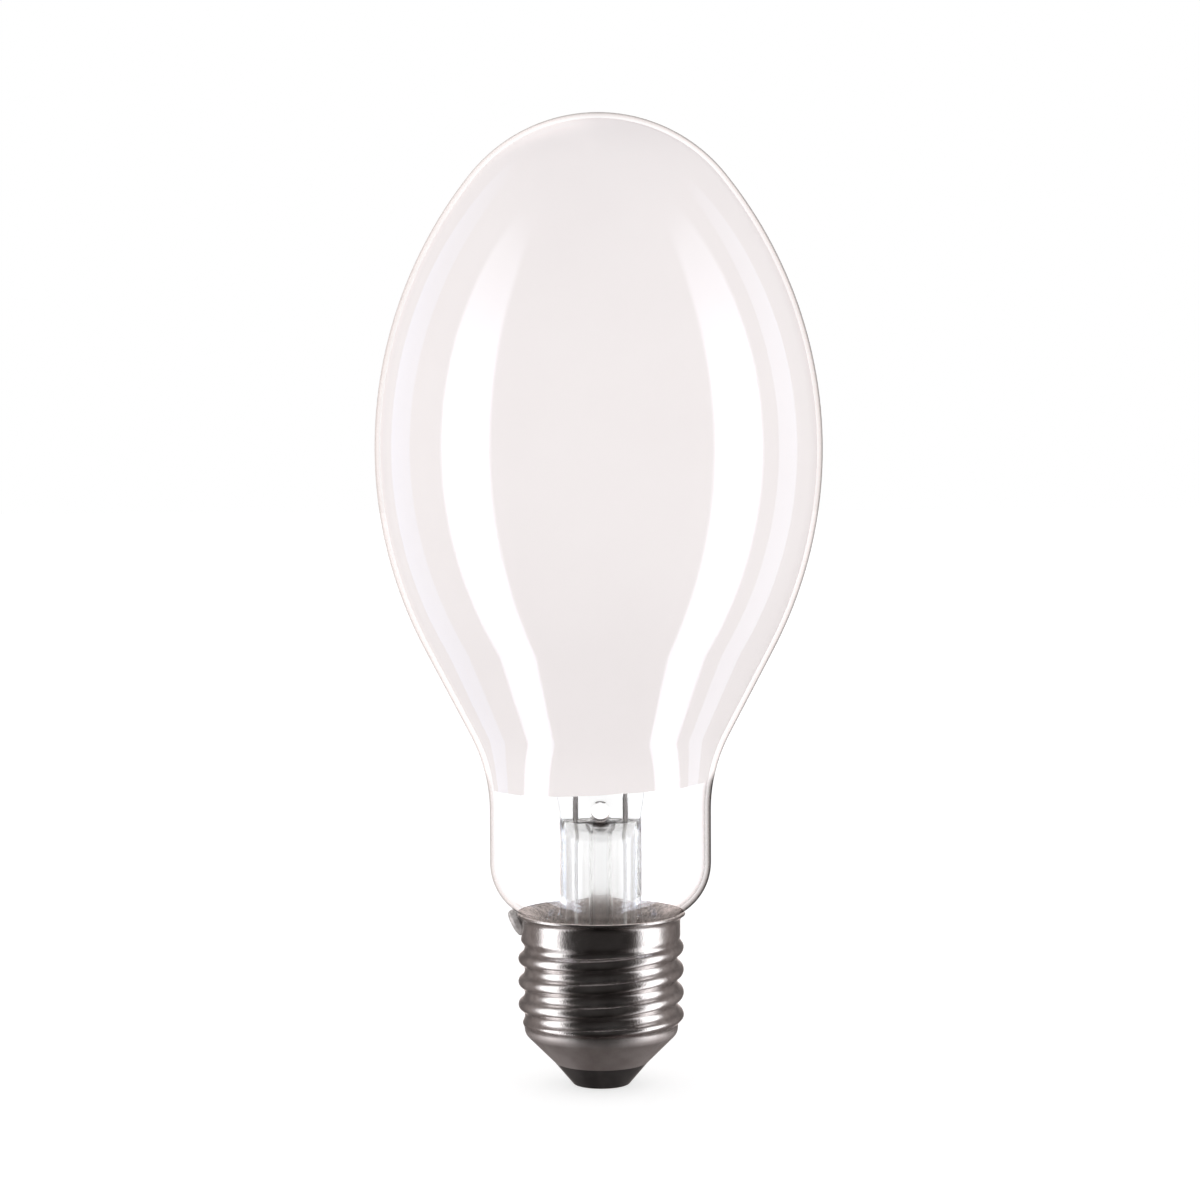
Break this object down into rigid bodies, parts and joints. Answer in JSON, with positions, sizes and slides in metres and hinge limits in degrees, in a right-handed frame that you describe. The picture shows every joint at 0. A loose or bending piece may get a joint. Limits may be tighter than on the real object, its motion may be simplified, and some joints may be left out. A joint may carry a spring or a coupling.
{
  "type": "high pressure sodium lamp",
  "caption": "Coated ellipsoidal discharge lamp: white glass bulb with a clear neck and stem, ceramic arc tube inside, on a threaded screw cap with a black insulator and centre contact",
  "frame": {"origin": "middle of the centre contact's face, on the lamp's axis", "axes": "+Z along the lamp's axis from the contact to the dome; the flat press of the stem lies in the XZ plane and its broad side faces -Y"},
  "size_m": [0.0702, 0.0702, 0.1529],
  "materials": {
    "cap_metal": "nickel plated sheet, slightly dulled",
    "cap_glass": "black glass, semi-gloss",
    "contact_brass": "dulled",
    "solder": "uneven matt grey",
    "cement": "grainy",
    "clear_glass": "clear, glossy",
    "white_coat": "fine white powder under glass",
    "stem_glass": "clear, glossy",
    "lead_wire": "plain drawn wire",
    "seal_wire": "oxidised",
    "frame_wire": "plain drawn wire",
    "arc_ceramic": "translucent white alumina",
    "frit": "satin",
    "niobium": "satin",
    "tungsten": "matt",
    "amalgam": "bright",
    "strap_metal": "rolled strip",
    "getter": "matt sintered powder"
  },
  "bodies": {
    "root": {"screw_shell": "cap_metal", "cap_insulator": "cap_glass", "centre_contact": "contact_brass", "centre_solder": "solder", "side_solder": "solder", "capping_cement": "cement", "outer_bulb": "clear_glass", "diffusing_coat": "white_coat", "stem": "stem_glass", "exhaust_tube": "stem_glass", "centre_lead_wire": "lead_wire", "side_lead_wire": "lead_wire", "centre_seal_wire": "seal_wire", "side_seal_wire": "seal_wire", "short_support_wire": "frame_wire", "long_support_wire": "frame_wire", "arc_tube": "arc_ceramic", "lower_end_plug": "arc_ceramic", "upper_end_plug": "arc_ceramic", "lower_frit_ring": "frit", "upper_frit_ring": "frit", "lower_niobium_tube": "niobium", "upper_niobium_tube": "niobium", "lower_electrode_rod": "tungsten", "upper_electrode_rod": "tungsten", "lower_electrode_coil": "tungsten", "upper_electrode_coil": "tungsten", "amalgam_pellet": "amalgam", "lower_strap": "strap_metal", "upper_strap": "strap_metal", "getter_strip": "getter", "lower_heat_band": "strap_metal", "upper_heat_band": "strap_metal"}
  },
  "joints": []
}
